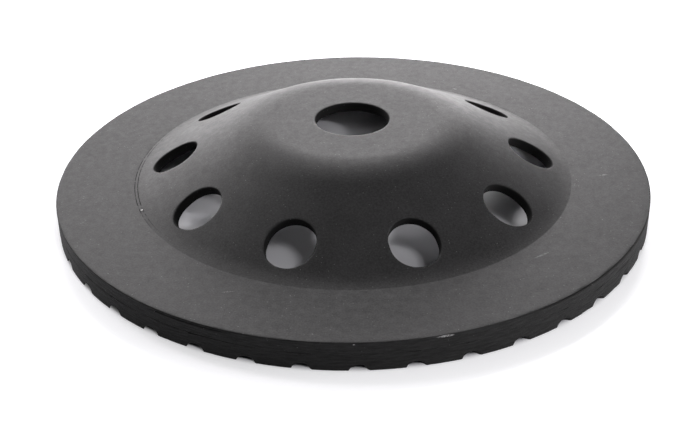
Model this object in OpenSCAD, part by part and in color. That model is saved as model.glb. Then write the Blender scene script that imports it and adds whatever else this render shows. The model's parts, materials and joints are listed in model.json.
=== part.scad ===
// Diamond cup wheel for grinding concrete, lying on its abrasive face.
// A steel body rises in a dome from a flat flange to a hub with the spindle bore, and a
// sintered abrasive ring with slanted grooves is bonded under the flange.
// Millimetres, +Z up, origin on the wheel's axis in the plane of the ground face.

/* [Wheel] */
// Outside diameter
wheel_d = 180; // [160:1:230]
// Spindle bore
bore_d = 22.23; // [15:0.01:30]
// Height of the hub above the ground face
hub_h = 26.2; // [24:0.1:36]

/* [Steel body] */
// Wall of the hub and the dome
wall_t = 3; // [2:0.1:4]
// Thickness of the flat flange
flange_t = 3.6; // [2.5:0.1:5]
// Diameter of the flat on top of the hub
hub_flat_d = 50; // [40:0.5:60]
// Diameter of the crease where the dome's foot meets the flat flange
dome_d = 133.5; // [128:0.1:140]
// Outside radius of the rounded shoulder between hub and cone
shoulder_r = 25; // [12:0.5:26]
// Outside radius of the hollow at the dome's foot
foot_r = 20; // [10:0.5:22]
// Inside radius of the hollow at the dome's foot
foot_in_r = 12; // [8:0.5:14]
// Angle at which the turned flange cuts the hollow off
crease_angle = 11; // [4:0.5:14]
// Bevel around the flange's upper edge
flange_bevel = 0.4; // [0.2:0.1:1]
// Bevel at both ends of the spindle bore
bore_bevel = 0.4; // [0.1:0.1:0.8]

/* [Dust holes] */
// Number of holes around the cone
hole_count = 10; // [4:1:12]
// Width of a hole across the slope
hole_d = 14; // [8:0.1:15]
// Length that the pressing adds to a hole along the slope
hole_stretch = 1.2; // [0.2:0.1:2]
// Distance of the holes' centres inward from the crease, level with the ground
hole_inset = 12.15; // [10.75:0.05:14.75]
// Bevel around a hole's outer edge
hole_bevel = 0.45; // [0.3:0.05:0.9]

/* [Abrasive ring] */
// Height of the ring
ring_h = 5; // [3.5:0.1:8]
// Width of the ring, inward from the wheel's edge
ring_w = 20; // [12:0.5:20.5]
// Bevel around both outer edges of the ring
ring_bevel = 0.25; // [0.1:0.05:0.6]
// Number of slanted grooves
groove_count = 39; // [24:1:42]
// Width of a groove at the ground face, square to its length
groove_w = 4.2; // [3.6:0.1:5]
// Depth of a groove
groove_depth = 1.75; // [1:0.05:1.8]
// Slant of a groove from the radius, at the wheel's edge
groove_slant = 38; // [0:1:40]
// Turn of the first groove from the first hole
groove_turn = 3.35; // [0:0.05:9]

/* [Hidden] */
$fn = 180;
// Cuts run past the faces that they open by this much
over = 1;
// Smallest run of the dome, as a share of its two radii together, at which both are full
round_share = 0.85;
black_steel = "#2b2b2d";
black_bond = "#1f1f20";

flange_z = ring_h + flange_t;
hub_in = hub_h - wall_t;
// A dome with a short run rounds its shoulder and foot less, so that a cone is left between
dome_run = (dome_d - hub_flat_d) / 2;
round_fit = min(1, dome_run / (round_share * (shoulder_r + foot_r)));
shoulder_fit_r = round_fit * shoulder_r;
foot_fit_r = round_fit * foot_r;
// Centres of the shoulder's and the foot's arcs
shoulder_c = [hub_flat_d / 2, hub_h - shoulder_fit_r];
foot_c = [dome_d / 2, flange_z] + foot_fit_r * [sin(crease_angle), cos(crease_angle)];
between = foot_c - shoulder_c;
// Slope of the cone, whose line touches both arcs, and the unit vector square to it
slope = asin((shoulder_fit_r + foot_fit_r) / norm(between)) - atan2(between[1], between[0]);
square = [sin(slope), cos(slope)];
cone_top = shoulder_c + shoulder_fit_r * square;
cone_foot = foot_c - foot_fit_r * square;
// Centre of the inside foot's arc, which runs out on the flange's underside
foot_in_z = ring_h + foot_in_r;
foot_in_c = [
    cone_foot[0] + (foot_in_r - wall_t - (foot_in_z - cone_foot[1]) * cos(slope)) / sin(slope),
    foot_in_z
];
// Place of a hole's centre on the outside of the cone
hole_circle_r = dome_d / 2 - hole_inset;
hole_z = cone_top[1] - (hole_circle_r - cone_top[0]) * tan(slope);
hole_cut_depth = wall_t + over;
ring_in_r = wheel_d / 2 - ring_w;
// A groove's section is an arc of this radius
groove_r = (pow(groove_w / 2, 2) + pow(groove_depth, 2)) / (2 * groove_depth);
// Length of a groove that surely crosses the ring
groove_len = 2 * ring_w / cos(groove_slant);

// Half section of everything under one skin of the dome, whose two arcs have the given radii,
// out to the end of its foot and down to the base height
module under_skin(upper_r, foot_centre, lower_r, foot_end, base) {
    arc_start = shoulder_c + [0, upper_r];
    arc_end = shoulder_c + upper_r * square;
    bisector = [tan(slope / 2), 1];
    difference() {
        // The shoulder's corner stands proud here, and is cut back to the arc below
        polygon([
            [0, base],
            [0, arc_start[1]],
            arc_start,
            shoulder_c + (upper_r + over) * bisector,
            arc_end,
            foot_centre - lower_r * square,
            foot_end,
            [foot_end[0], base]
        ]);
        difference() {
            polygon([arc_start, shoulder_c + (upper_r + 2 * over) * bisector, arc_end]);
            translate(shoulder_c) circle(r = upper_r);
        }
        translate(foot_centre) circle(r = lower_r);
    }
}

module outside_section() {
    under_skin(shoulder_fit_r, foot_c, foot_fit_r, [dome_d / 2, flange_z], ring_h);
}

module inside_section() {
    under_skin(shoulder_fit_r - wall_t, foot_in_c, foot_in_r, [foot_in_c[0], ring_h], ring_h - over);
}

// Half section of the flat flange, with its bevelled upper edge, reaching in under the foot
module flange_section() {
    polygon([
        [cone_foot[0], ring_h],
        [dome_d / 2, flange_z],
        [wheel_d / 2 - flange_bevel, flange_z],
        [wheel_d / 2, flange_z - flange_bevel],
        [wheel_d / 2, ring_h]
    ]);
}

module body_section() {
    difference() {
        union() {
            outside_section();
            flange_section();
        }
        inside_section();
    }
}

// A bevel for one end of the bore, its wide end at z = 0 and its cone going down
module bevel_cut() {
    translate([0, 0, -bore_bevel]) cylinder(d1 = bore_d, d2 = bore_d + 2 * bore_bevel, h = bore_bevel);
    cylinder(d = bore_d + 2 * bore_bevel, h = over);
}

module bore_cut() {
    translate([0, 0, hub_in - over]) cylinder(d = bore_d, h = wall_t + 2 * over);
    translate([0, 0, hub_h]) bevel_cut();
    translate([0, 0, hub_in]) mirror([0, 0, 1]) bevel_cut();
}

// Half section of a hole, with its bevel widening past the outer edge at z = 0
module hole_section() {
    polygon([
        [0, -hole_cut_depth],
        [hole_d / 2, -hole_cut_depth],
        [hole_d / 2, -hole_bevel],
        [hole_d / 2 + hole_bevel + over, over],
        [0, over]
    ]);
}

// One hole, square to the cone and a little longer down the slope than across it
module dust_hole() {
    translate([hole_circle_r, 0, hole_z]) rotate([0, slope, 0]) {
        for (side = [-1, 1]) translate([side * hole_stretch / 2, 0, 0]) rotate_extrude() hole_section();
        rotate([90, 0, 90]) linear_extrude(height = hole_stretch, center = true) {
            hole_section();
            mirror([1, 0]) hole_section();
        }
    }
}

module steel_body() {
    color(black_steel) difference() {
        rotate_extrude() body_section();
        bore_cut();
        for (i = [0 : hole_count - 1]) rotate(i * 360 / hole_count) dust_hole();
    }
}

// One straight groove with a round bottom, from outside the wheel's edge to inside the ring
module groove() {
    translate([wheel_d / 2, 0, groove_depth - groove_r]) rotate(180 + groove_slant)
        translate([-groove_w, 0, 0]) rotate([0, 90, 0]) cylinder(r = groove_r, h = groove_len + groove_w);
}

module ring_section() {
    polygon([
        [ring_in_r, 0],
        [ring_in_r, ring_h],
        [wheel_d / 2 - ring_bevel, ring_h],
        [wheel_d / 2, ring_h - ring_bevel],
        [wheel_d / 2, ring_bevel],
        [wheel_d / 2 - ring_bevel, 0]
    ]);
}

module diamond_rim() {
    color(black_bond) difference() {
        rotate_extrude() ring_section();
        for (i = [0 : groove_count - 1]) rotate(groove_turn + i * 360 / groove_count) groove();
    }
}

steel_body();
diamond_rim();
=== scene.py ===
"""A black diamond cup wheel lying on its abrasive face, on a white table in soft light from behind.

Lengths are in millimetres up to the making of each mesh, which turns them into metres.
"""
import json
import math

import bmesh
import bpy
import numpy as np
from mathutils import Matrix, Vector


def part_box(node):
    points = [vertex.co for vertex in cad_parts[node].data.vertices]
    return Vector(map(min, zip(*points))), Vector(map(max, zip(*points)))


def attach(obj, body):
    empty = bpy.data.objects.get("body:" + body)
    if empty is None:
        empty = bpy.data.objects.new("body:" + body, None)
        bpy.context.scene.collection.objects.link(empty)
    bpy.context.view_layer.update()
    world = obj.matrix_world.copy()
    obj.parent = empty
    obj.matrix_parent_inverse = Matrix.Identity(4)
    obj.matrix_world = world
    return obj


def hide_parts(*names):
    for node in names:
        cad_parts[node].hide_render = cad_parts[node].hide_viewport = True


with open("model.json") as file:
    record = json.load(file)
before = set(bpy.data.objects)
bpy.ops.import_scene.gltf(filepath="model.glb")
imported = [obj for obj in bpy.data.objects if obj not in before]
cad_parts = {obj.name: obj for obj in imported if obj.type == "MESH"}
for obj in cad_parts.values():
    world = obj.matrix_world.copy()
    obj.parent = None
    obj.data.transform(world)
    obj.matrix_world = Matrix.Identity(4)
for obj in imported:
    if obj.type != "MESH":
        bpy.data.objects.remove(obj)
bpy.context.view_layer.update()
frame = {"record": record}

MM = 0.001


# Camera

# The photograph's frame, and the focal length and optical axis in its pixels
IMAGE_W, IMAGE_H = 700, 434
FOCAL_PX = 1216
AXIS_X_PX, AXIS_Y_PX = 353.3, 194.2
CAMERA_ELEVATION = math.radians(29.20)
CAMERA_DISTANCE = 0.3804
CAMERA_ROLL = math.radians(-0.85)
# Turn of the disc about its axis, seen from the camera, that lays a dust hole on +X
DISC_TURN = math.radians(0.49)
SENSOR_W = 36


def make_camera():
    data = bpy.data.cameras.new("camera")
    data.sensor_width = SENSOR_W
    data.lens = SENSOR_W * FOCAL_PX / IMAGE_W
    data.shift_x = (IMAGE_W / 2 - AXIS_X_PX) / IMAGE_W
    data.shift_y = (AXIS_Y_PX - IMAGE_H / 2) / IMAGE_W
    data.clip_start = 0.01
    data.clip_end = 20
    level = math.cos(CAMERA_ELEVATION)
    back = Vector((math.sin(DISC_TURN) * level, -math.cos(DISC_TURN) * level, math.sin(CAMERA_ELEVATION)))
    right = Vector((math.cos(DISC_TURN), math.sin(DISC_TURN), 0))
    up = back.cross(right)
    cos_roll, sin_roll = math.cos(CAMERA_ROLL), math.sin(CAMERA_ROLL)
    rolled_right = right * cos_roll + up * sin_roll
    rolled_up = up * cos_roll - right * sin_roll
    turn = Matrix((rolled_right, rolled_up, back)).transposed().to_4x4()
    camera = bpy.data.objects.new("camera", data)
    camera.matrix_world = Matrix.Translation(back * CAMERA_DISTANCE) @ turn
    bpy.context.scene.collection.objects.link(camera)
    bpy.context.scene.camera = camera


# Sizes of the disc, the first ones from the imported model

WHEEL_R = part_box("steel_body")[1].x / MM
HUB_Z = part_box("steel_body")[1].z / MM
RING_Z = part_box("diamond_rim")[1].z / MM
BORE_R = frame["record"]["mounts"][0]["dims"]["r_mm"]
WALL = 3
FLANGE_T = 3.6
FLANGE_Z = RING_Z + FLANGE_T
HUB_IN_Z = HUB_Z - WALL
HUB_FLAT_R = 25
CREASE_R = 66.75
CREASE_ANGLE = math.radians(11)
SHOULDER_R = 25
FOOT_R = 20
FOOT_IN_R = 12
RING_W = 20
RING_IN_R = WHEEL_R - RING_W

HOLES = 10
HOLE_R = 7
HOLE_HALF_STRETCH = 0.6
HOLE_CIRCLE_R = CREASE_R - 12.15

GROOVES = 39
GROOVE_HALF_W = 2.1
GROOVE_DEPTH = 1.75
GROOVE_SLANT = math.radians(38)
GROOVE_TURN = math.radians(3.35)

# Centres of the dome's arcs, and the cone that touches them
shoulder_x, shoulder_z = HUB_FLAT_R, HUB_Z - SHOULDER_R
foot_x = CREASE_R + FOOT_R * math.sin(CREASE_ANGLE)
foot_z = FLANGE_Z + FOOT_R * math.cos(CREASE_ANGLE)
between_x, between_z = foot_x - shoulder_x, foot_z - shoulder_z
slope = math.asin((SHOULDER_R + FOOT_R) / math.hypot(between_x, between_z)) - math.atan2(between_z, between_x)
SIN, COS, TAN = math.sin(slope), math.cos(slope), math.tan(slope)
cone_top_r, cone_top_z = shoulder_x + SHOULDER_R * SIN, shoulder_z + SHOULDER_R * COS
cone_foot_r, cone_foot_z = foot_x - FOOT_R * SIN, foot_z - FOOT_R * COS
inner_top_r = shoulder_x + (SHOULDER_R - WALL) * SIN
foot_in_z = RING_Z + FOOT_IN_R
foot_in_x = cone_foot_r + (FOOT_IN_R - WALL - (foot_in_z - cone_foot_z) * COS) / SIN
inner_foot_r = foot_in_x - FOOT_IN_R * SIN


def outside(r):
    """Height of the outer skin at a radius, as far as the crease."""
    if r <= HUB_FLAT_R:
        return HUB_Z
    if r <= cone_top_r:
        return shoulder_z + math.sqrt(SHOULDER_R ** 2 - (r - shoulder_x) ** 2)
    if r <= cone_foot_r:
        return cone_top_z - (r - cone_top_r) * TAN
    if r <= CREASE_R:
        return foot_z - math.sqrt(FOOT_R ** 2 - (foot_x - r) ** 2)
    return FLANGE_Z


def inside(r):
    """Height of the inner skin at a radius, as far as the flange's underside."""
    if r <= HUB_FLAT_R:
        return HUB_IN_Z
    if r <= inner_top_r:
        return shoulder_z + math.sqrt((SHOULDER_R - WALL) ** 2 - (r - shoulder_x) ** 2)
    if r <= inner_foot_r:
        return shoulder_z + (SHOULDER_R - WALL) * COS - (r - inner_top_r) * TAN
    if r <= foot_in_x:
        return foot_in_z - math.sqrt(FOOT_IN_R ** 2 - (foot_in_x - r) ** 2)
    return RING_Z


# Meshes

class Builder:
    """Points and faces of one closed mesh, gathered loop by loop."""

    def __init__(self):
        self.points = []
        self.faces = []

    def point(self, x, y, z):
        self.points.append((x * MM, y * MM, z * MM))
        return len(self.points) - 1

    def polar(self, r, angle, z):
        return self.point(r * math.cos(angle), r * math.sin(angle), z)

    def band(self, loop_a, loop_b):
        """Joins two closed loops of as many points each with a row of faces."""
        count = len(loop_a)
        for i in range(count):
            j = (i + 1) % count
            self.faces.append((loop_a[i], loop_a[j], loop_b[j], loop_b[i]))

    def bands(self, loops):
        for loop_a, loop_b in zip(loops, loops[1:]):
            self.band(loop_a, loop_b)

    def make(self, name, material):
        mesh = bpy.data.meshes.new(name)
        mesh.from_pydata(self.points, [], self.faces)
        work = bmesh.new()
        work.from_mesh(mesh)
        bmesh.ops.recalc_face_normals(work, faces=work.faces)
        work.to_mesh(mesh)
        work.free()
        mesh.polygons.foreach_set("use_smooth", [True] * len(mesh.polygons))
        mesh.materials.append(material)
        piece = bpy.data.objects.new(name, mesh)
        bpy.context.scene.collection.objects.link(piece)
        return piece


class Relief:
    """Smooth seeded noise on a drum, from 0 to 1, with no seam where the angle comes round."""

    def __init__(self, seed, turns, step):
        self.turns = turns
        self.step = step
        self.table = np.random.RandomState(seed).rand(turns, 64)

    def at(self, angle, height):
        u = angle / (2 * math.pi) * self.turns
        v = height / self.step
        i, j = math.floor(u), math.floor(v)
        s, t = u - i, v - j
        s, t = s * s * (3 - 2 * s), t * t * (3 - 2 * t)
        a = self.table[i % self.turns, j % 64]
        b = self.table[(i + 1) % self.turns, j % 64]
        c = self.table[i % self.turns, (j + 1) % 64]
        d = self.table[(i + 1) % self.turns, (j + 1) % 64]
        return (a * (1 - s) + b * s) * (1 - t) + (c * (1 - s) + d * s) * t


def spread(start, end, steps):
    """Evenly spaced values from start to end, both included."""
    return [start + (end - start) * i / steps for i in range(steps + 1)]


# Steel body

COLUMNS_PER_HOLE = 54
COLUMNS = HOLES * COLUMNS_PER_HOLE
# A patch round each hole takes the skin between these radii
PATCH_OUT = (45.5, 63.8)
PATCH_IN = (44.2, 62.2)
PATCH_STEPS = 12
PATCH_LAYERS = 5
# The punched edge is rolled outside and broken inside
HOLE_ROLL = 0.55
HOLE_BREAK = 0.3
BORE_EDGE = 0.4
# Half width of the zone that shades the crease
CREASE_HALF_W = 0.12
# A worn groove under the flange's upper edge, strongest at the front right
LEDGE_DROP = 0.75
LEDGE_HALF_W = 0.2
LEDGE_DEPTH = 0.6
# The flange's outer edge under its paint
EDGE_ROUND = 0.42
SEAM_ROUND = 0.22
rim_wear = Relief(3, 260, 0.5)
edge_wear = Relief(5, 170, 1)
seam_fill = Relief(7, 70, 1)
line_wear = Relief(9, 150, 1)


def column_angle(column):
    return 2 * math.pi * column / COLUMNS


def lathe_loop(mesh, r, z):
    return [mesh.polar(r, column_angle(i), z) for i in range(COLUMNS)]


def skin_depth(along, across, skin, start):
    """Where a line square to the cone, at a place on a hole's plane, meets a skin of the dome."""
    depth = start
    for _ in range(8):
        x = HOLE_CIRCLE_R + along * COS + depth * SIN
        z = outside(HOLE_CIRCLE_R) - along * SIN + depth * COS
        depth -= (z - skin(math.hypot(x, across))) * COS
    return depth


def hole_place(along, across, depth):
    """Point of a hole's own frame, for the hole on +X."""
    return (
        HOLE_CIRCLE_R + along * COS + depth * SIN,
        across,
        outside(HOLE_CIRCLE_R) - along * SIN + depth * COS,
    )


def hole_outline(angle, radius):
    """Point of a hole's outline in its own plane, seen from its centre at an angle."""
    c, s = math.cos(angle), math.sin(angle)
    if abs(s) > 0.001 and abs(radius * c / abs(s)) <= HOLE_HALF_STRETCH:
        return radius * c / abs(s), math.copysign(radius, s)
    centre = math.copysign(HOLE_HALF_STRETCH, c)
    reach = c * centre + math.sqrt(radius ** 2 - (s * centre) ** 2)
    return reach * c, reach * s


def skin_ring(angles, skin, start, offset, depth):
    """Points round the hole on +X, offset outward from its wall and sunk below a skin."""
    ring = []
    for angle in angles:
        along, across = hole_outline(angle, HOLE_R + offset)
        ring.append(hole_place(along, across, skin_depth(along, across, skin, start) - depth))
    return ring


def patch_edge(radii):
    """Angle and radius of each point of the edge of the patch on +X, going round it."""
    half = COLUMNS_PER_HOLE // 2
    low, high = radii
    steps = spread(high, low, PATCH_STEPS)[1:-1]
    edge = [(column, high) for column in range(-half, half + 1)]
    edge += [(half, r) for r in steps]
    edge += [(column, low) for column in range(half, -half - 1, -1)]
    edge += [(-half, r) for r in reversed(steps)]
    return edge


def rolled(radius, steps):
    """Offset and depth of each ring of a rounded edge, from the skin down to the wall."""
    angles = [math.pi / 2 * k / steps for k in range(1, steps + 1)]
    return [(radius * (1 - math.sin(a)), radius * (1 - math.cos(a))) for a in angles]


def patch_grid(mesh, hole, edge, loops_by_radius, sides, ring, skin):
    """Joins a patch's edge to the first ring round its hole, and returns that ring's loop."""
    turn = 2 * math.pi * hole / HOLES
    outer = []
    for column, r in edge:
        if r in loops_by_radius:
            outer.append(loops_by_radius[r][(column + hole * COLUMNS_PER_HOLE) % COLUMNS])
        else:
            side = hole if column > 0 else (hole - 1) % HOLES
            outer.append(sides[side][r])
    loops = [outer]
    for layer in range(1, PATCH_LAYERS):
        share = layer / PATCH_LAYERS
        loop = []
        for (column, r), (x, y, z) in zip(edge, ring):
            angle = column_angle(column) * (1 - share) + math.atan2(y, x) * share
            radius = r * (1 - share) + math.hypot(x, y) * share
            loop.append(mesh.polar(radius, angle + turn, skin(radius)))
        loops.append(loop)
    loops.append(turned_loop(mesh, ring, turn))
    mesh.bands(loops)
    return loops[-1]


def turned_loop(mesh, ring, turn):
    c, s = math.cos(turn), math.sin(turn)
    return [mesh.point(x * c - y * s, x * s + y * c, z) for x, y, z in ring]


def patch_sides(mesh, radii, skin):
    """Points along the lines between neighbouring patches, for each hole the line after it."""
    low, high = radii
    steps = spread(high, low, PATCH_STEPS)[1:-1]
    half = COLUMNS_PER_HOLE // 2
    return [
        {r: mesh.polar(r, column_angle(hole * COLUMNS_PER_HOLE + half), skin(r)) for r in steps}
        for hole in range(HOLES)
    ]


def around(angle, middle, half):
    """1 at an angle of the model, in degrees, falling smoothly to 0 at half that far away."""
    away = (math.degrees(angle) - middle + 180) % 360 - 180
    return max(0, 1 - (away / half) ** 2)


def ledge_wear(angle):
    """Strength of the worn groove under the flange's edge, from 0 to 1."""
    return (around(angle, 322, 30) + around(angle, 243, 9)) * min(1, 0.5 + line_wear.at(angle, 3))


def crease_profile():
    """The foot's last stretch, the crease, and the flange's first stretch."""
    foot = [(r, outside(r)) for r in spread(PATCH_OUT[1], CREASE_R - CREASE_HALF_W, 6)[1:]]
    return foot + [(r, FLANGE_Z) for r in (CREASE_R, CREASE_R + CREASE_HALF_W, CREASE_R + 4 * CREASE_HALF_W)]


def flange_edge_loops(mesh):
    """The rounded and worn upper edge of the flange, its side, and its lower edge at the seam."""
    loops = []
    steps = 6
    for k in range(steps + 1):
        a = math.pi / 2 * k / steps
        loop = []
        for i in range(COLUMNS):
            angle = column_angle(i)
            radius = EDGE_ROUND * (0.75 + 0.5 * edge_wear.at(angle, 0))
            r = WHEEL_R - radius * (1 - math.sin(a))
            loop.append(mesh.polar(r, angle, FLANGE_Z - radius * (1 - math.cos(a))))
        loops.append(loop)
    ledge_z = FLANGE_Z - LEDGE_DROP
    for z, share in ((ledge_z + LEDGE_HALF_W, 0), (ledge_z, 1), (ledge_z - LEDGE_HALF_W, 0)):
        loop = []
        for i in range(COLUMNS):
            angle = column_angle(i)
            depth = 0.035 * rim_wear.at(angle, z) + share * LEDGE_DEPTH * ledge_wear(angle)
            loop.append(mesh.polar(WHEEL_R - depth, angle, z))
        loops.append(loop)
    for z in spread(ledge_z - 3 * LEDGE_HALF_W, RING_Z + 2 * SEAM_ROUND, 8):
        loop = []
        for i in range(COLUMNS):
            angle = column_angle(i)
            loop.append(mesh.polar(WHEEL_R - 0.035 * rim_wear.at(angle, z), angle, z))
        loops.append(loop)
    for k in range(4):
        a = math.pi / 2 * k / 3
        loop = []
        for i in range(COLUMNS):
            angle = column_angle(i)
            radius = SEAM_ROUND * min(1, 2.2 * seam_fill.at(angle, 0))
            r = WHEEL_R - radius * (1 - math.cos(a))
            loop.append(mesh.polar(r, angle, RING_Z + radius * (1 - math.sin(a))))
        loops.append(loop)
    return loops


def steel_shell(material):
    mesh = Builder()
    bore_top = [(BORE_R, HUB_Z - BORE_EDGE - 0.1), (BORE_R, HUB_Z - BORE_EDGE),
                (BORE_R + 0.2 * BORE_EDGE, HUB_Z - 0.5 * BORE_EDGE),
                (BORE_R + 0.5 * BORE_EDGE, HUB_Z - 0.2 * BORE_EDGE),
                (BORE_R + BORE_EDGE, HUB_Z), (BORE_R + 2 * BORE_EDGE, HUB_Z)]
    hub = [(r, HUB_Z) for r in (13, 16, 20, 23, HUB_FLAT_R - 0.6)]
    shoulder = [(r, outside(r)) for r in
                (shoulder_x + SHOULDER_R * math.sin(slope * k / 14) for k in range(15))]
    cone = [(r, outside(r)) for r in spread(cone_top_r, PATCH_OUT[0], 5)[1:]]
    top_loops = [lathe_loop(mesh, r, z) for r, z in bore_top + hub + shoulder + cone]
    mesh.bands(top_loops)

    foot_first = lathe_loop(mesh, PATCH_OUT[1], outside(PATCH_OUT[1]))
    crease = [foot_first] + [lathe_loop(mesh, r, z) for r, z in crease_profile()]
    flange = [lathe_loop(mesh, r, FLANGE_Z) for r in (67.6, 69, 72, 76, 80, 84, 87, 88.8)]
    edge = flange_edge_loops(mesh)
    under = [lathe_loop(mesh, r, RING_Z) for r in (88, 80, RING_IN_R + 0.4, foot_in_x)]
    foot_in = [(foot_in_x - FOOT_IN_R * math.sin(slope * k / 8)) for k in range(1, 8)]
    foot_in = [r for r in foot_in if r > PATCH_IN[1]]
    inner_first = lathe_loop(mesh, PATCH_IN[1], inside(PATCH_IN[1]))
    inner_foot = [lathe_loop(mesh, r, inside(r)) for r in foot_in]
    mesh.bands(crease + flange + edge + under + inner_foot + [inner_first])

    inner_last = lathe_loop(mesh, PATCH_IN[0], inside(PATCH_IN[0]))
    inner_cone = [lathe_loop(mesh, r, inside(r)) for r in spread(PATCH_IN[0], inner_top_r, 4)[1:-1]]
    inner_shoulder = [lathe_loop(mesh, r, inside(r)) for r in
                      (shoulder_x + (SHOULDER_R - WALL) * math.sin(slope * k / 8) for k in range(8, -1, -1))]
    inner_hub = [lathe_loop(mesh, r, HUB_IN_Z) for r in (20, 14, BORE_R + 2 * BORE_EDGE, BORE_R + BORE_EDGE)]
    bore_wall = [lathe_loop(mesh, BORE_R, z) for z in (HUB_IN_Z + BORE_EDGE, HUB_IN_Z + 1.2)]
    mesh.bands([inner_last] + inner_cone + inner_shoulder + inner_hub + bore_wall + [top_loops[0]])

    out_edge, in_edge = patch_edge(PATCH_OUT), patch_edge(PATCH_IN)
    out_sides, in_sides = patch_sides(mesh, PATCH_OUT, outside), patch_sides(mesh, PATCH_IN, inside)
    angles = []
    for column, r in out_edge:
        x, y = r * math.cos(column_angle(column)), r * math.sin(column_angle(column))
        along = (x - HOLE_CIRCLE_R) * COS - (outside(r) - outside(HOLE_CIRCLE_R)) * SIN
        angles.append(math.atan2(y, along))
    out_rings = [skin_ring(angles, outside, 0, offset, 0) for offset in (1.5, 0.85, HOLE_ROLL)]
    out_rings += [skin_ring(angles, outside, 0, offset, depth) for offset, depth in rolled(HOLE_ROLL, 5)]
    in_rings = [skin_ring(angles, inside, -WALL, offset, 0) for offset in (1.5, HOLE_BREAK)]
    in_rings += [skin_ring(angles, inside, -WALL, offset, -depth) for offset, depth in rolled(HOLE_BREAK, 3)]
    middle = [tuple((p + q) / 2 for p, q in zip(a, b)) for a, b in zip(out_rings[-1], in_rings[-1])]
    out_loops = {PATCH_OUT[0]: top_loops[-1], PATCH_OUT[1]: foot_first}
    in_loops = {PATCH_IN[0]: inner_last, PATCH_IN[1]: inner_first}
    for hole in range(HOLES):
        turn = 2 * math.pi * hole / HOLES
        loops = [patch_grid(mesh, hole, out_edge, out_loops, out_sides, out_rings[0], outside)]
        loops += [turned_loop(mesh, ring, turn) for ring in out_rings[1:] + [middle]]
        inner = [patch_grid(mesh, hole, in_edge, in_loops, in_sides, in_rings[0], inside)]
        inner += [turned_loop(mesh, ring, turn) for ring in in_rings[1:]]
        mesh.bands(loops + inner[::-1])
    return mesh.make("steel_shell", material)


# Abrasive ring

GROOVE_STEPS = 12
LAND_STEPS = 9
RING_EDGE = 0.2
groove_r = (GROOVE_HALF_W ** 2 + GROOVE_DEPTH ** 2) / (2 * GROOVE_DEPTH)
# Distance of a groove's middle line from the axis
groove_reach = WHEEL_R * math.sin(GROOVE_SLANT)
grit = Relief(11, 420, 0.42)
grit_wide = Relief(13, 110, 1.3)
pits = Relief(17, 330, 0.7)


def groove_angle(r, across):
    """Angle at which a line beside the middle of the groove on +X crosses a radius."""
    return math.acos((groove_reach + across) / r) - (math.pi / 2 - GROOVE_SLANT)


def groove_height(across):
    return max(0, GROOVE_DEPTH - groove_r + math.sqrt(max(0, groove_r ** 2 - across ** 2)))


def ring_columns(r):
    """Angle and height of the underside, column by column round the ring at a radius."""
    pitch = 2 * math.pi / GROOVES
    across_steps = spread(GROOVE_HALF_W, -GROOVE_HALF_W, GROOVE_STEPS)
    land_start = groove_angle(r, -GROOVE_HALF_W)
    land_end = groove_angle(r, GROOVE_HALF_W) + pitch
    columns = []
    for groove in range(GROOVES):
        base = GROOVE_TURN + groove * pitch
        columns += [(base + groove_angle(r, across), groove_height(across)) for across in across_steps]
        columns += [(base + angle, 0) for angle in spread(land_start, land_end, LAND_STEPS)[1:-1]]
    return columns


def wall_depth(angle, z):
    """How far the pressed and painted wall of the ring lies inside its nominal radius."""
    pit = max(0, pits.at(angle, z) - 0.80)
    return 0.035 * grit.at(angle, z) + 0.04 * grit_wide.at(angle, z) + 0.5 * pit


def abrasive_ring(material):
    mesh = Builder()
    outer, inner = ring_columns(WHEEL_R), ring_columns(RING_IN_R)
    loops = []
    for a, sink, lift in ((0, 1, 0), (1, 0.3, 0.3), (2, 0, 1)):
        loops.append([
            mesh.polar(WHEEL_R - sink * RING_EDGE - wall_depth(angle, z), angle, z + lift * RING_EDGE)
            for angle, z in outer
        ])
    for share in spread(0.1, 0.94, 10):
        loop = []
        for angle, low in outer:
            z = low + RING_EDGE + (RING_Z - low - RING_EDGE) * share
            loop.append(mesh.polar(WHEEL_R - wall_depth(angle, z), angle, z))
        loops.append(loop)
    for sink, drop in ((0, 1), (0.3, 0.3), (1, 0)):
        loop = []
        for angle, low in outer:
            edge = SEAM_ROUND * min(1, 2.2 * seam_fill.at(angle, 0))
            r = WHEEL_R - sink * edge - wall_depth(angle, RING_Z) * (1 - sink)
            loop.append(mesh.polar(r, angle, RING_Z - drop * edge))
        loops.append(loop)
    loops.append([mesh.polar(RING_IN_R, angle, RING_Z) for angle, low in inner])
    loops.append([mesh.polar(RING_IN_R, angle, (RING_Z + low) / 2) for angle, low in inner])
    for r in spread(RING_IN_R, WHEEL_R - 2 * RING_EDGE, 13):
        loops.append([mesh.polar(r, angle, low) for angle, low in ring_columns(r)])
    mesh.bands(loops + [loops[0]])
    return mesh.make("abrasive_ring", material)


# Materials

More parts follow.
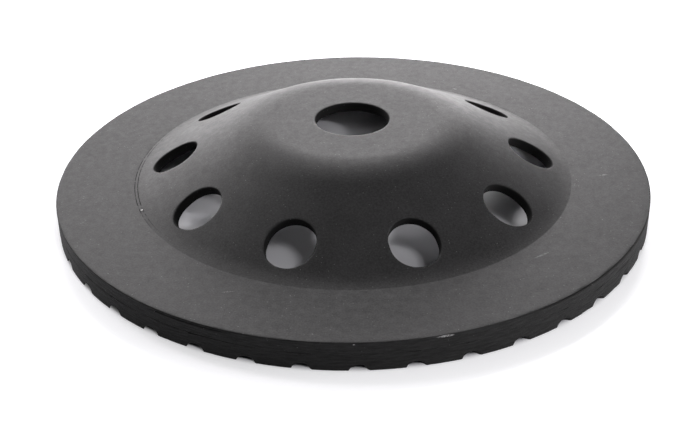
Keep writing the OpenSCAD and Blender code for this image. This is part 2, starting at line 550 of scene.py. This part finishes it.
class Nodes:
    """Makes the nodes of one material by short calls."""

    def __init__(self, name):
        self.material = bpy.data.materials.new(name)
        self.material.use_nodes = True
        self.tree = self.material.node_tree
        self.shader = self.tree.nodes["Principled BSDF"]
        self.output = self.tree.nodes["Material Output"]

    def link(self, value, socket):
        if isinstance(value, bpy.types.NodeSocket):
            self.tree.links.new(value, socket)
        else:
            socket.default_value = value

    def add(self, kind, inputs, output=0, **settings):
        node = self.tree.nodes.new(kind)
        for key, value in settings.items():
            setattr(node, key, value)
        for key, value in inputs.items():
            self.link(value, node.inputs[key])
        return node.outputs[output]

    def place(self):
        return self.add("ShaderNodeTexCoord", {}, "Object")

    def scaled(self, vector, x, y, z):
        return self.add("ShaderNodeVectorMath", {0: vector, 1: (x, y, z)}, operation="MULTIPLY")

    def noise(self, vector, size, detail=2, rough=0.5):
        """Noise whose features are about that many millimetres wide."""
        inputs = {"Vector": vector, "Scale": 1 / (size * MM), "Detail": detail, "Roughness": rough}
        return self.add("ShaderNodeTexNoise", inputs, "Fac")

    def ramp(self, value, low, high, to_low=0.0, to_high=1.0):
        inputs = {"Value": value, "From Min": low, "From Max": high, "To Min": to_low, "To Max": to_high}
        return self.add("ShaderNodeMapRange", inputs)

    def math(self, operation, a, b=0.0):
        return self.add("ShaderNodeMath", {0: a, 1: b}, operation=operation)

    def blend(self, share, a, b):
        """A number that goes from a to b with the share."""
        rest = self.math("SUBTRACT", 1.0, share)
        return self.math("ADD", self.math("MULTIPLY", rest, a), self.math("MULTIPLY", share, b))

    def mix_colour(self, share, a, b):
        node = self.tree.nodes.new("ShaderNodeMix")
        node.data_type = "RGBA"
        self.link(share, node.inputs[0])
        self.link(a, node.inputs[6])
        self.link(b, node.inputs[7])
        return node.outputs[2]

    def bump(self, height):
        """Bump from a height in millimetres."""
        return self.add("ShaderNodeBump", {"Height": height, "Distance": MM, "Strength": 1.0})

    def distance(self, vector, centre=(0, 0, 0), turn=0.0, stretch=(1, 1, 1)):
        """Distance from a centre, in metres, in axes turned about Z and stretched."""
        offset = self.add("ShaderNodeVectorMath", {0: vector, 1: centre}, operation="SUBTRACT")
        turned = self.add("ShaderNodeVectorRotate", {"Vector": offset, "Angle": -turn}, rotation_type="Z_AXIS")
        scaled = self.scaled(turned, *stretch)
        return self.add("ShaderNodeVectorMath", {0: scaled}, "Value", operation="LENGTH")

    def dots(self, vector, cell, radius):
        """Seeded round dots, about one for each cube of that many millimetres."""
        cells = self.add("ShaderNodeTexVoronoi", {"Vector": vector, "Scale": 1 / (cell * MM)}, "Distance")
        return self.ramp(cells, 0.7 * radius / cell, radius / cell, 1, 0)


def grey(level, blue=0.0):
    return (level, level, level * (1 + blue), 1)


PAINT_SPECULAR = 0.3


def drawn_grain(n, place):
    """Coarse grain drawn out round the wheel: its shade, its roughness and its height."""
    drawn = n.scaled(place, 0.16, 0.16, 1)
    grain = n.noise(drawn, 0.55, 3)
    fine = n.noise(place, 0.3, 3)
    height = n.math("ADD", n.math("MULTIPLY", grain, 0.20), n.math("MULTIPLY", fine, 0.05))
    return n.ramp(grain, 0.3, 0.7), n.ramp(fine, 0.3, 0.7, 0.65, 0.8), height


# Marks in the paint: place of the middle, half length and half width, compass turn, and how light they are
MARKS = (
    ((-61.8, -23.7, 8.7), (0.40, 0.40), 0, 0.85),
    ((35.8, 59.8, 8.6), (0.9, 0.25), -20, 0.15),
    ((-32.6, -67.0, 8.6), (1.9, 0.25), 6, 0.12),
    ((51.7, -50.5, 8.6), (3.2, 0.40), 35, 0.06),
    ((76.4, -5.0, 8.6), (1.6, 0.30), 10, 0.10),
    ((23.1, -87.0, 8.2), (2.6, 0.35), 15, 0.40),
    ((0.4, -90.0, 8.0), (0.35, 0.25), 0, 0.25),
)
# Radii of two dark, dull lines of painted shade at the crease, and where they show: middle and reach
CREASE_SHADE_RADII = (65.85, 66.75)
CREASE_SHADE_HALF_W = 0.16
CREASE_SHADE_AT = (((-65.7, -5.8, 8.6), 15, 36), ((42.4, 50.6, 8.6), 5, 25))
# A dark, dull line of painted shade on the side just under the flange's upper edge, and where it shows
EDGE_SHADE_Z = 8.2
EDGE_SHADE_HALF_W = 0.3
EDGE_SHADE_AT = ((78.0, -44.9, 8.2), 32, 58)


def black_paint():
    """Satin black paint on steel: a fine orange peel, soft mottling, dust, scuffs, a rough side, and painted
    shade in the crease, under the flange's edge, in the hole walls and on the inner skin.
    """
    n = Nodes("black_paint")
    n.shader.inputs["Specular IOR Level"].default_value = PAINT_SPECULAR
    place = n.place()
    radius = n.distance(n.scaled(place, 1, 1, 0))
    side = n.ramp(radius, (WHEEL_R - 0.30) * MM, (WHEEL_R - 0.15) * MM)
    side_shade, side_rough, side_height = drawn_grain(n, place)
    mottle = n.ramp(n.noise(place, 9, 3), 0.3, 0.7)
    grain = n.ramp(n.noise(place, 0.5, 2), 0.3, 0.7)
    colour = n.mix_colour(n.blend(0.7, mottle, grain), grey(0.006, 0.04), grey(0.026, 0.04))
    colour = n.mix_colour(side, colour, n.mix_colour(side_shade, grey(0.004), grey(0.018)))
    # Painted shade: dark, dull lines at the crease and under the flange's edge, dark walls of the holes and
    # bore, and a dark inner skin of the dome, also made fully rough below
    painted_shade = n.math("MAXIMUM", crease_painted_shade(n, place, radius), edge_painted_shade(n, place, side))
    painted_shade = n.math("MAXIMUM", painted_shade, n.math("MAXIMUM", hole_wall_painted_shade(n, place), inner_skin_painted_shade(n, place, radius)))
    colour = n.mix_colour(painted_shade, colour, grey(0.004))
    specks = n.math("MULTIPLY", n.dots(place, 1.4, 0.14), n.ramp(n.noise(place, 7, 2), 0.35, 0.65))
    colour = n.mix_colour(specks, colour, grey(0.11))
    for middle, (half_length, half_width), turn, light in MARKS:
        centre = tuple(value * MM for value in middle)
        stretch = (1 / (half_length * MM), 1 / (half_width * MM), 1 / (half_width * MM))
        reach = n.distance(place, centre, math.radians(turn), stretch)
        worn = n.math("MULTIPLY", n.ramp(reach, 0.6, 1, 1, 0), n.ramp(n.noise(place, 0.4, 2), 0.35, 0.55))
        colour = n.mix_colour(worn, colour, grey(light))
    n.link(colour, n.shader.inputs["Base Color"])
    rough = n.ramp(n.noise(place, 2.2, 3), 0.3, 0.7, 0.54, 0.62)
    rough = n.blend(painted_shade, n.blend(side, rough, side_rough), 1.0)
    n.link(rough, n.shader.inputs["Roughness"])
    peel = n.math("MULTIPLY", n.noise(place, 0.45, 3), 0.020)
    waves = n.math("MULTIPLY", n.noise(place, 2.0, 2), 0.012)
    height = n.blend(side, n.math("ADD", peel, waves), side_height)
    n.link(n.bump(height), n.shader.inputs["Normal"])
    return n.material


def crease_painted_shade(n, place, radius):
    """Share of the painted shade at the crease: two dark, dull lines, broken up by noise."""
    lines = 0.0
    for r in CREASE_SHADE_RADII:
        away = n.math("ABSOLUTE", n.math("SUBTRACT", radius, r * MM))
        lines = n.math("MAXIMUM", lines, n.ramp(away, 0.4 * CREASE_SHADE_HALF_W * MM, CREASE_SHADE_HALF_W * MM, 1, 0))
    shown = 0.0
    for middle, near, far in CREASE_SHADE_AT:
        reach = n.distance(place, tuple(value * MM for value in middle))
        shown = n.math("MAXIMUM", shown, n.ramp(reach, near * MM, far * MM, 1, 0))
    broken = n.ramp(n.noise(place, 2.5, 3), 0.35, 0.5)
    return n.math("MULTIPLY", n.math("MULTIPLY", lines, shown), broken)


def edge_painted_shade(n, place, side):
    """Share of the painted shade: a dark, dull line just under the flange's upper edge."""
    height = n.distance(n.scaled(place, 0, 0, 1))
    away = n.math("ABSOLUTE", n.math("SUBTRACT", height, EDGE_SHADE_Z * MM))
    line = n.ramp(away, 0.5 * EDGE_SHADE_HALF_W * MM, EDGE_SHADE_HALF_W * MM, 1, 0)
    middle, near, far = EDGE_SHADE_AT
    shown = n.ramp(n.distance(place, tuple(value * MM for value in middle)), near * MM, far * MM, 1, 0)
    return n.math("MULTIPLY", n.math("MULTIPLY", line, side), shown)


def hole_wall_painted_shade(n, place):
    """Share of the walls of the dust holes and the bore, painted darker and duller than the skin as shade."""
    x = n.add("ShaderNodeSeparateXYZ", {"Vector": place}, "X")
    y = n.add("ShaderNodeSeparateXYZ", {"Vector": place}, "Y")
    pitch = 2 * math.pi / HOLES
    nearest = n.math("ROUND", n.math("DIVIDE", n.math("ARCTAN2", y, x), pitch))
    back = n.math("MULTIPLY", nearest, -pitch)
    turned = n.add("ShaderNodeVectorRotate", {"Vector": place, "Angle": back}, rotation_type="Z_AXIS")
    centre = (HOLE_CIRCLE_R * MM, 0, outside(HOLE_CIRCLE_R) * MM)
    offset = n.add("ShaderNodeVectorMath", {0: turned, 1: centre}, operation="SUBTRACT")
    square = n.add("ShaderNodeVectorRotate", {"Vector": offset, "Angle": -slope}, rotation_type="Y_AXIS")
    flat = n.scaled(square, HOLE_R / (HOLE_R + HOLE_HALF_STRETCH), 1, 0)
    reach = n.add("ShaderNodeVectorMath", {0: flat}, "Value", operation="LENGTH")
    hole = n.ramp(reach, (HOLE_R + 0.15) * MM, (HOLE_R + 0.4) * MM, 1, 0)
    bore = n.ramp(n.distance(n.scaled(place, 1, 1, 0)), (BORE_R + 0.1) * MM, (BORE_R + 0.3) * MM, 1, 0)
    return n.math("MAXIMUM", hole, bore)


def inner_skin_painted_shade(n, place, radius):
    """Share of the dome's inner skin outside its shoulder, painted dull and dark too as shade."""
    z = n.add("ShaderNodeSeparateXYZ", {"Vector": place}, "Z")
    over = n.math("ADD", n.math("MULTIPLY", radius, SIN), n.math("MULTIPLY", z, COS))
    skin = (HOLE_CIRCLE_R * SIN + outside(HOLE_CIRCLE_R) * COS) * MM
    deep = n.ramp(n.math("SUBTRACT", skin, over), 0.4 * WALL * MM, 0.7 * WALL * MM)
    return n.math("MULTIPLY", deep, n.ramp(radius, cone_top_r * MM, (cone_top_r + 1) * MM))


def sintered_bond():
    """Sintered metal bond under a thin coat of black: coarse grain drawn out round the wheel."""
    n = Nodes("sintered_bond")
    n.shader.inputs["Specular IOR Level"].default_value = PAINT_SPECULAR
    place = n.place()
    shade, rough, height = drawn_grain(n, place)
    n.link(n.mix_colour(shade, grey(0.004), grey(0.018)), n.shader.inputs["Base Color"])
    n.link(rough, n.shader.inputs["Roughness"])
    n.link(n.bump(height), n.shader.inputs["Normal"])
    return n.material


# Table

TABLE_SIZE = 8
# The glow that whitens the table, faded toward the disc as a painted shadow: none under the disc, half of it at
# its edge, all of it far away
GLOW_AT_EDGE, GLOW_NEAR, GLOW_AWAY = 0.46, 0.60, 1.0
UNDER_R, EDGE_R, NEAR_R, AWAY_R = 0.0885, 0.0905, 0.0985, 0.5
TABLE_COLOUR = (0.78, 0.79, 0.825, 1)
# Share of the glow that shows in gloss
GLOW_IN_GLOSS = 0.5


def table_top():
    """A glossy white table that shows white to the eye and keeps the disc's shadow, with a painted shadow where
    its glow fades under and near the disc.
    """
    n = Nodes("table_top")
    n.shader.inputs["Base Color"].default_value = TABLE_COLOUR
    n.shader.inputs["Roughness"].default_value = 0.22
    n.shader.inputs["Specular IOR Level"].default_value = 0.5
    place = n.place()
    flat = n.scaled(place, 1, 1, 0)
    reach = n.add("ShaderNodeVectorMath", {0: flat}, "Value", operation="LENGTH")
    edge_glow = n.ramp(reach, UNDER_R, EDGE_R, 0, GLOW_AT_EDGE)
    near_glow = n.ramp(reach, EDGE_R, NEAR_R, 0, GLOW_NEAR - GLOW_AT_EDGE)
    away_glow = n.ramp(reach, NEAR_R, AWAY_R, 0, GLOW_AWAY - GLOW_NEAR)
    glow_with_painted_shadow = n.math("ADD", n.math("ADD", edge_glow, near_glow), away_glow)
    ray = n.tree.nodes.new("ShaderNodeLightPath")
    in_gloss = n.math("MULTIPLY", ray.outputs["Is Glossy Ray"], GLOW_IN_GLOSS)
    seen = n.math("MAXIMUM", ray.outputs["Is Camera Ray"], in_gloss)
    seen = n.math("MAXIMUM", seen, ray.outputs["Is Transmission Ray"])
    n.link((1, 1, 1, 1), n.shader.inputs["Emission Color"])
    n.link(n.math("MULTIPLY", glow_with_painted_shadow, seen), n.shader.inputs["Emission Strength"])
    mesh = Builder()
    half = TABLE_SIZE / 2 / MM
    corners = [mesh.point(x * half, y * half, 0) for x, y in ((-1, -1), (1, -1), (1, 1), (-1, 1))]
    mesh.faces.append(corners)
    table = mesh.make("table", n.material)


# Light

PANEL_COLOUR = (1, 0.975, 0.985)
# Compass angle from straight behind toward the right, elevation, width, height and brightness of each lamp
PANELS = (
    (8, 10, 0.52, 0.36, 9.5),
    (-22, 10, 0.52, 0.36, 6.5),
    (-52, 10, 0.52, 0.36, 4),
    (38, 10, 0.52, 0.36, 1.8),
    (98, 10, 0.52, 0.36, 10),
    (8, 28, 0.52, 0.36, 2.2),
    (-22, 28, 0.52, 0.36, 1.2),
    (-52, 28, 0.52, 0.36, 3.8),
    (98, 28, 0.52, 0.36, 1.8),
    (0, 46, 0.10, 0.10, 85),
    (-45, 50, 0.20, 0.20, 16),
    (158, 43, 0.16, 0.16, 36),
)
WORLD_LIGHT = 0.02


def light_the_table():
    for number, (compass, elevation, width, height, brightness) in enumerate(PANELS):
        a, e = math.radians(compass), math.radians(elevation)
        way = Vector((math.sin(a) * math.cos(e), math.cos(a) * math.cos(e), math.sin(e)))
        data = bpy.data.lights.new("panel_%d" % number, "AREA")
        data.shape = "RECTANGLE"
        data.size, data.size_y = width, height
        data.energy = brightness * math.pi * width * height
        data.color = PANEL_COLOUR
        panel = bpy.data.objects.new("panel_%d" % number, data)
        panel.location = way
        panel.rotation_euler = way.to_track_quat("Z", "Y").to_euler()
        panel.visible_camera = False
        bpy.context.scene.collection.objects.link(panel)
    world = bpy.data.worlds.new("room")
    world.use_nodes = True
    bpy.context.scene.world = world
    tree = world.node_tree
    background = tree.nodes["Background"]
    background.inputs["Color"].default_value = (1, 1, 1, 1)
    ray = tree.nodes.new("ShaderNodeLightPath")
    strength = tree.nodes.new("ShaderNodeMapRange")
    tree.links.new(ray.outputs["Is Camera Ray"], strength.inputs["Value"])
    strength.inputs["To Min"].default_value = WORLD_LIGHT
    strength.inputs["To Max"].default_value = 1
    tree.links.new(strength.outputs[0], background.inputs["Strength"])


# The scene

make_camera()
bpy.context.scene.view_settings.view_transform = "Standard"
table_top()
light_the_table()

shell = steel_shell(black_paint())
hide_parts("steel_body")
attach(shell, "root")

ring_piece = abrasive_ring(sintered_bond())
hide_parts("diamond_rim")
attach(ring_piece, "root")
